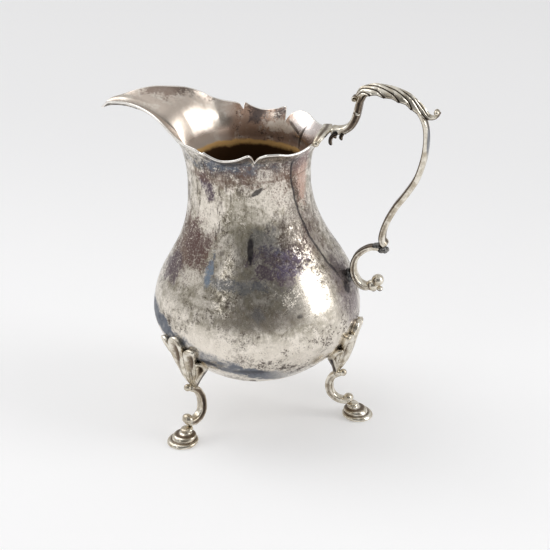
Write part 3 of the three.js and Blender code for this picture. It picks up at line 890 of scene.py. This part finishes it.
# Stains on the outside: azimuth, radius, height, (across, up), raggedness, softness, colour, strength, and
# a tilt where there is one.
DARK_STAINS = [
    (-141, 23, 60, (9, 9), 1.1, 0.7, BROWN, 0.9),
    (-128, 22, 62, (5, 7), 1, 0.7, WINE, 0.85),
    (-146, 26, 52, (6, 4), 1.1, 0.6, PURPLE, 0.75),
    (-56, 21.5, 59, (7, 5.4), 1.1, 0.5, PURPLE, 0.9),
    (-45, 22.7, 59, (5, 3.6), 1.1, 0.6, VIOLET, 0.6),
    (-84, 20.5, 72, (6.5, 8), 0.5, 0.4, MOSS, 0.65),
    (180, 45, 95.4, (6, 2.6), 0.5, 0.5, DARK, 0.7),
    (-64, 20.5, 65, (5, 4), 1.2, 0.8, SLATE, 0.4),
    (-90, 25.8, 54, (10, 1.5), 1.2, 0.6, SLATE, 0.6),
    (-72, 28.5, 45.5, (11, 3.4), 1.2, 0.8, BROWN, 0.3),
    (-38, 20, 66, (6, 8.5), 1.2, 0.8, UMBER, 0.85),
    (-16, 21, 66, (5, 9), 0.8, 0.8, WINE, 0.45),
    (-6, 29.4, 47, (7, 13), 0.4, 0.9, PURPLE, 0.75),
    (-22, 16.4, 82, (3.4, 8), 0.6, 0.8, PINK, 0.8),
    (-30, 17, 88, (5, 3.4), 0.8, 0.8, PURPLE, 0.6),
    (-46, 17, 80, (4, 4), 1.3, 0.5, BROWN, 0.8),
    (-36, 17, 76, (2.6, 5), 1.3, 0.5, UMBER, 0.7),
    (-121, 19.5, 80.5, (2.2, 5), 0.8, 0.5, PURPLE, 0.95, 25),
    (-92, 18, 87.2, (17, 2.8), 0.7, 0.8, SLATE, 0.9),
    (-62, 17.2, 85, (7, 4), 1.2, 0.8, BROWN, 0.75),
    (-110, 19, 84, (8, 2.4), 1.3, 0.6, BROWN, 0.6),
    (72, 20, 66, (7, 8), 1.2, 0.7, BROWN, 0.8),
    (112, 23.5, 59, (10, 5), 1.2, 0.7, PURPLE, 0.8),
    (152, 25, 55, (7, 6), 1.1, 0.7, WINE, 0.8),
    (58, 29, 45, (10, 4), 1.2, 0.7, SLATE, 0.6),
    (100, 29.4, 33, (14, 3), 1.1, 0.7, SLATE, 0.75),
    (32, 23.5, 57, (5, 6), 1.2, 0.7, UMBER, 0.7),
    (128, 19.5, 79, (7, 6), 1.2, 0.7, BROWN, 0.7),
]
LIGHT_FLECKS = [
    (-42, 28.5, 49.5, (7.5, 5.6), 0.6, 0.9, CREAM, 1),
    (-100, 29.5, 36, (14, 6), 1.2, 0.7, CREAM, 0.55),
    # painted reflection: a thin upright pale blue streak, where a blue window is mirrored
    (-109, 24.5, 56, (1.2, 4), 0.9, 0.6, PAINTED_BLUE_REFLECTION, 0.75),
    (-124, 26.2, 53, (4.5, 2.4), 1.2, 0.4, CREAM, 1),
    (-107, 28.6, 48.3, (5.4, 1.2), 0.9, 0.5, CREAM, 0.9),
    (-60, 17.2, 79, (6, 6), 1.3, 0.4, CREAM, 0.75),
    (-122, 19.7, 73, (4.6, 5), 1.3, 0.4, CREAM, 0.8),
    (-36, 19.5, 71, (3.4, 5), 1.3, 0.4, CREAM, 0.4),
    (-131, 29, 44, (6, 3), 1.3, 0.4, CREAM, 0.8),
]
SMALL_MARKS = [
    # painted reflection: this narrow upright dark mark in the middle of the front stands for the dark camera
    # side mirrored there
    (-79.5, 20.6, 63.2, (0.95, 4.1), 0.25, 0.6, DARK, 0.9),
    (-8, 29.2, 47, (1.6, 1.9), 0.5, 0.6, DARK, 0.75),
    (-74, 17.6, 80.4, (2.2, 0.7), 0.6, 0.6, DARK, 0.8, 35),
    (-50, 29.7, 45.4, (0.9, 0.5), 0.5, 0.6, DARK, 0.7),
    (-74, 29.5, 46.5, (1.8, 2), 1.2, 0.8, SLATE, 0.4),
    (-76, 28, 27.5, (5, 0.9), 0.7, 0.8, DARK, 0.6),
    (-103, 29.4, 29.2, (2.4, 1), 0.7, 0.8, DARK, 0.8),
]


def marked(g, colour, stains, broken=None):
    """Lays stains, and the few painted reflections listed with them, over a colour, through the mask broken
    where there is one.
    """
    for azimuth, radius, height, size, ragged, soft, tint, strength, *tilt in stains:
        mask = g.times(g.spot(azimuth, radius, height, size, ragged, soft, *tilt), strength)
        if broken:
            mask = g.times(mask, broken)
        colour = g.mix(mask, colour, tint)
    return colour


def rubbed_edges(g, colour):
    """Lightens the cut edge, where the tarnish is rubbed off."""
    return g.mix(g.ramp(g.recess(), -0.2, -0.9), colour, RUBBED)


def seam_mask(g):
    """The seam: a dark line that wanders down the front, on the handle's side."""
    seam_at = g.ramp(g.z, 51, 82, math.radians(-10.5), math.radians(-37), "LINEAR")
    turn = g.minus(g.math("ARCTAN2", g.y, g.x), seam_at)
    wander = g.swing(g.noise(0.35, 4, 0.6), 0.08)
    seam = g.ramp(g.math("ABSOLUTE", g.plus(turn, wander)), 0.034, 0.012)
    return g.times(seam, g.between(g.z, 50, 53, 88, 91))


def front_band(g, medium):
    """The band left dark where polish never reached, round the lower front of the belly."""
    turn = g.math("ARCTAN2", g.y, g.x)
    band_height = g.ramp(turn, math.radians(-150), math.radians(-60), 38, 24, "LINEAR")
    off = g.math("ABSOLUTE", g.plus(g.minus(g.z, band_height), g.swing(medium, 9)))
    front = g.times(g.ramp(g.y, -2, -12), g.ramp(g.x, 20, 8))
    return g.times(g.ramp(off, 3.8, 2.2), front)


def outside_silver():
    """Light silver under a patchy skin of brown, violet and slate tarnish."""
    g = Graph("worn_silver_outside")
    wide = g.noise(0.085, 5, 0.62)
    medium = g.noise(0.3, 6, 0.72, 0.4)
    streaks = g.noise(1.3, 5, 0.7, stretch=(1, 1, 0.16))
    haze = g.times(g.ramp(medium, 0.38, 0.6), g.ramp(g.z, 30, 56, 0.3, 1))
    colour = g.mix(haze, CREAM, OLIVE)
    drawn = g.times(g.ramp(streaks, 0.5, 0.62), g.ramp(g.z, 36, 50))
    colour = g.mix(g.times(drawn, 0.7), colour, UMBER)
    # a darker, greener belt across the widest part, round the front
    patches = g.times(g.ramp(g.y, -12, -22), g.ramp(medium, 0.36, 0.56))
    belt = g.times(g.between(g.z, 36, 42, 48, 56), patches)
    colour = g.mix(g.times(belt, 0.4), colour, MOSS)
    colour = marked(g, colour, DARK_STAINS, g.ramp(g.grit, 0.62, 0.52, 0.3, 1))
    amount = g.plus(g.times(g.ramp(g.z, 46, 34), 0.14), g.ramp(wide, 0.36, 0.64, 0.16, 0.6))
    colour, grains = speckled(g, colour, UMBER, amount, 2.6, 0.9)
    colour, _ = speckled(g, colour, CREAM, g.ramp(medium, 0.4, 0.6, 0.28, 0.58), 1.9, 0.75)
    colour, _ = speckled(g, colour, DARK, g.ramp(g.z, 52, 40, 0, 0.34), 1.3, 0.55)
    colour = g.mix(g.times(front_band(g, medium), 0.9), colour, SLATE)
    colour = marked(g, colour, LIGHT_FLECKS, g.ramp(g.grit, 0.42, 0.5, 0.25, 1))
    colour = marked(g, colour, SMALL_MARKS)
    colour = g.mix(g.times(seam_mask(g), 0.8), colour, DARK)
    colour = g.mix(g.ramp(g.recess(), 0, 1, 0, 0.5), colour, BROWN)
    colour = rubbed_edges(g, colour)
    tone = g.ramp(g.noise(0.5, 4, 0.6, shift=9), 0.3, 0.7, 0, 0.14)
    tarnish = g.ramp(g.grey(colour), 0.5, 0.14, 0.15, 0.42)
    roughness = g.plus(g.plus(tarnish, tone), g.times(grains, 0.1))
    relief = g.plus(g.times(grains, -0.7), g.times(streaks, 0.6))
    g.bump(relief, 0.35, 0.06)
    return g.finish(colour, roughness)


INSIDE_STAINS = [
    (133, 24, 96.5, (3.4, 1.8), 1.2, 0.7, UMBER, 0.7),
    (150, 28, 98.6, (4.4, 1.8), 1.2, 0.7, UMBER, 0.75),
    (164, 34, 99.4, (6, 1.6), 1.2, 0.7, BROWN, 0.7),
    (103, 22, 90.5, (3.2, 2.4), 1, 0.7, DARK, 0.8),
    (84, 21.6, 91.5, (2.6, 1.6), 1, 0.7, DARK, 0.8),
    (78, 20.6, 88.6, (4.4, 2.2), 1.1, 0.6, CREAM, 0.7),
    (50, 19.4, 87, (0.6, 4.2), 0.3, 0.5, UMBER, 0.85, 12),
    (61, 20, 88.6, (3.6, 0.5), 0.3, 0.5, UMBER, 0.75, 28),
]


def inside_silver():
    """The inside: pale in the lip's trough, brown and spotted on the far wall with a painted highlight on its
    lobe by the handle, a gilt band under a painted highlight, and painted shade, warm and dark, below.
    """
    g = Graph("worn_silver_inside")
    medium = g.noise(0.22, 6, 0.7, 0.3)
    pale, brown, dark_brown = srgb(222, 213, 202), srgb(166, 138, 120), srgb(78, 62, 54)
    lobe_painted_highlight, gilt_and_highlight, deep = srgb(232, 224, 222), srgb(252, 206, 136), srgb(78, 54, 32)
    lip = g.ramp(g.x, -10, -14)
    streaks = g.noise(0.9, 5, 0.7, stretch=(1, 1, 0.2))
    mottled = g.ramp(g.plus(medium, g.times(streaks, 0.3)), 0.5, 0.66)
    mottled = g.times(mottled, g.ramp(lip, 0, 1, 1, 0.3))
    colour = g.mix(mottled, pale, brown)
    far_brown = g.times(g.between(g.x, -17, -11, -4, 4), g.ramp(medium, 0.3, 0.5, 0.4, 1))
    colour = g.mix(g.times(far_brown, 0.6), colour, brown)
    colour, grains = speckled(g, colour, dark_brown, g.ramp(lip, 0, 1, 0.5, 0.2), 1.2)
    # painted highlight: the inside of the lobe by the handle is painted near white
    lobe = g.times(g.ramp(g.x, 5, 9), g.ramp(g.z, 84, 88))
    colour = g.mix(g.times(lobe, 0.85), colour, lobe_painted_highlight)
    colour = marked(g, colour, INSIDE_STAINS)
    level = g.plus(g.z, g.swing(medium, 2.5))
    # the gilt band is painted bright gold: gilding, with a painted highlight over it
    colour = g.mix(g.ramp(level, 83.4, 82.6), colour, gilt_and_highlight)
    # painted shade: below the band the inside is painted dark brown
    colour = g.mix(g.ramp(level, 82, 80.8), colour, deep)
    colour = rubbed_edges(g, colour)
    # the far wall and all that lies deep in the neck are duller and less like a mirror than the lip
    wall = g.times(g.ramp(lip, 0, 1, 1, 0), g.ramp(g.z, 93, 89))
    dull = g.math("MAXIMUM", g.times(wall, g.ramp(g.x, 9, 5)), g.ramp(g.z, 87, 84))
    roughness = g.plus(g.ramp(dull, 0, 1, 0.27, 0.42), g.times(grains, 0.2))
    # the gilt band is made less metallic, so that it shows lit as the painted highlight
    band = g.between(level, 81.8, 82.6, 83.4, 84.4)
    metal = g.minus(g.ramp(dull, 0, 1, 1, 0.45), g.times(band, 0.35), clamp=True)
    g.bump(grains, 0.25, 0.05)
    return g.finish(colour, roughness, metal)


def cast_silver():
    """Cast ornament: creamy on its high places, brown in its hollows and nearly black down in the grooves."""
    g = Graph("cast_silver_look")
    medium = g.noise(0.4, 3, 0.55)
    high, worn, hollow, groove = srgb(238, 232, 219), srgb(190, 179, 160), srgb(112, 98, 84), srgb(26, 24, 24)
    colour = g.mix(g.ramp(medium, 0.36, 0.66), high, worn)
    fine = g.noise(1.6, 3, 0.6)
    # the recess attribute carries the grooves' patina, and painted shade under the bars, under the leaf,
    # behind the knees and in the pads' steps
    patina_and_shade = g.plus(g.recess(), g.swing(fine, 0.35))
    colour = g.mix(g.ramp(patina_and_shade, 0.12, 0.5), colour, hollow)
    colour = g.mix(g.ramp(patina_and_shade, 0.5, 0.9), colour, groove)
    # painted shadow: the outer face of the bar below the leaf's tip is painted slate grey where the leaf's
    # shadow falls
    leaf_tip_shadow = g.times(g.between(g.z, 88, 93, 99.5, 101), g.ramp(g.x, 50.6, 51))
    colour = g.mix(g.times(leaf_tip_shadow, 0.85), colour, SLATE)
    roughness = g.plus(g.ramp(medium, 0.3, 0.7, 0.17, 0.28), g.times(g.recess(), 0.2))
    g.bump(fine, 0.2, 0.05)
    return g.finish(colour, roughness)


def solder_metal():
    """Old lead-grey solder, lumpy and dull."""
    g = Graph("solder_look")
    medium = g.noise(0.9, 5, 0.65, 0.4)
    colour = g.mix(g.ramp(medium, 0.35, 0.65), srgb(62, 62, 64), srgb(148, 146, 142))
    g.bump(medium, 0.5, 0.15)
    return g.finish(colour, g.ramp(medium, 0.3, 0.7, 0.3, 0.5))


FLOOR_GLOW = 0.37  # how much the paper shines, so that its shadows stay soft


def pale_floor():
    """Pale paper that glows a little, with painted shade making it a little darker behind the jug."""
    g = Graph("pale_floor")
    colour = g.mix(g.ramp(g.y, -60, 260), srgb(226, 226, 227), srgb(212, 212, 213))
    g.link(colour, g.shader.inputs["Emission Color"])
    g.shader.inputs["Emission Strength"].default_value = FLOOR_GLOW
    return g.finish(colour, 0.85, metallic=0)


# ---- stage ----
# Azimuths are counted from the handle's side, in degrees. The camera's sizes are in millimetres, and the
# lights' and the floor's in metres.
CAMERA_AZIMUTH = -75
CAMERA_ELEVATION = 26
CAMERA_DISTANCE = 488
AIM_HEIGHT = 47.3
AIM_RIGHT = 5.488
AIM_UP = -1.524
LENS = 104.77
SENSOR = 36
LIGHTS_AIM = Vector((0, 0, 0.06))
# azimuth, elevation, distance, width, height, radiance
SOFTBOXES = {
    "window": (5, 24, 0.9, 0.72, 0.44, 3),
    "far_panel": (172, 50, 1.1, 0.9, 0.78, 1.7),
    "strip": (-121, 32, 1, 0.1, 0.7, 2.2),
    "ceiling": (-70, 84, 1.3, 1.3, 1.3, 0.45),
}
SKY_BRIGHT = 0.62
SKY_DARK = 0.2
SKY_TINT = (1, 0.995, 0.985, 1)
DARK_SIDE_ELEVATION = 48  # the dim part of the room is above and behind the camera
DARK_SIDE_EDGES = (0.35, 0.9)  # cosines from its middle, where it starts and where it is darkest
FLOOR_REACH = 6


def facing_from(obj, way, place, up):
    """Puts a camera or a light in its place and turns it to look back along the way."""
    obj.location = place
    obj.rotation_mode = "QUATERNION"
    obj.rotation_quaternion = (-way).to_track_quat("-Z", up)


def add_camera():
    back = direction(CAMERA_AZIMUTH, CAMERA_ELEVATION)
    right = direction(CAMERA_AZIMUTH + 90, 0)
    up = back.cross(right)
    camera = bpy.data.cameras.new("photo_camera")
    camera.lens, camera.sensor_width = LENS, SENSOR
    camera.clip_start, camera.clip_end = 0.01, 50
    aim = Vector((AXIS_X, 0, AIM_HEIGHT)) + right * AIM_RIGHT + up * AIM_UP
    obj = added("photo_camera", camera)
    facing_from(obj, back, (aim + back * CAMERA_DISTANCE) * MM, "Y")
    bpy.context.scene.camera = obj


def add_softbox(name, azimuth, elevation, distance, width, height, radiance):
    light = bpy.data.lights.new(name, "AREA")
    light.shape, light.size, light.size_y = "RECTANGLE", width, height
    light.energy = radiance * math.pi * width * height
    way = direction(azimuth, elevation)
    facing_from(added(name, light), way, LIGHTS_AIM + way * distance, "Z")


def add_world():
    world = bpy.data.worlds.new("studio")
    world.use_nodes = True
    tree = world.node_tree
    sky = tree.nodes["Background"]
    sky.inputs["Color"].default_value = SKY_TINT
    where = tree.nodes.new("ShaderNodeTexCoord")
    facing = tree.nodes.new("ShaderNodeVectorMath")
    facing.operation = "DOT_PRODUCT"
    facing.inputs[1].default_value = direction(CAMERA_AZIMUTH, DARK_SIDE_ELEVATION)
    tree.links.new(where.outputs["Generated"], facing.inputs[0])
    shade = tree.nodes.new("ShaderNodeMapRange")
    shade.interpolation_type = "SMOOTHSTEP"
    for i, value in enumerate((*DARK_SIDE_EDGES, SKY_BRIGHT, SKY_DARK)):
        shade.inputs[i + 1].default_value = value
    tree.links.new(facing.outputs["Value"], shade.inputs[0])
    tree.links.new(shade.outputs[0], sky.inputs["Strength"])
    bpy.context.scene.world = world


def add_floor(material):
    """A flat floor of rings that widen outwards, so wide that its end isn't seen."""
    mesh = bpy.data.meshes.new("floor")
    rings, sides = 24, 96
    points, faces = [(0, 0, 0)], []
    for ring in range(1, rings + 1):
        radius = FLOOR_REACH * (ring / rings) ** 2
        points += [tuple(polar(radius, math.tau * k / sides, 0)) for k in range(sides)]
    for k in range(sides):
        faces.append((0, 1 + k, 1 + (k + 1) % sides))
    for ring in range(rings - 1):
        a, b = 1 + ring * sides, 1 + (ring + 1) * sides
        for k in range(sides):
            after = (k + 1) % sides
            faces.append((a + k, b + k, b + after, a + after))
    mesh.from_pydata(points, [], faces)
    mesh.materials.append(material)
    added("floor", mesh)


def build():
    silver = [outside_silver(), inside_silver()], "worn_silver"
    cast = [cast_silver()], "cast_silver"
    solder = [solder_metal()], "solder"
    shape, inner_faces = body_shape()
    piece("body", [shape], silver, face_materials=inner_faces)
    piece("handle_scroll", [handle_bar(), riser_collar()], cast)
    piece("handle_leaf", [leaf_shape(), leaf_tip_roll()], cast)
    piece("handle_curl", curl_shapes(), cast)
    piece("handle_rim_bracket", bracket_shapes(), cast)
    piece("rim_volute_front", rim_volute(-1), cast)
    piece("rim_volute_back", rim_volute(1), cast)
    piece("scroll_joint", joint_shapes(), solder)
    piece("lower_scroll", [lower_scroll_shape()], cast)
    piece("lower_scroll_bud", bud_shapes(), cast)
    piece("belly_patch", patch_shapes(), solder)
    knee = knee_shape()
    for side, (foot_azimuth, knee_azimuth, groove_depth) in LEGS.items():
        turn = math.radians(knee_azimuth)
        foot = polar(PAD_DISTANCE, math.radians(foot_azimuth - knee_azimuth), 0)
        piece("knee_shell_" + side, [knee], cast, turn)
        piece("leg_scroll_" + side, leg_shapes(foot, groove_depth), cast, turn)
        piece("pad_foot_" + side, [pad_shape(foot)], cast, turn)


build()
add_floor(pale_floor())
add_world()
for name, settings in SOFTBOXES.items():
    add_softbox(name, *settings)
add_camera()
bpy.context.scene.view_settings.view_transform = "Standard"
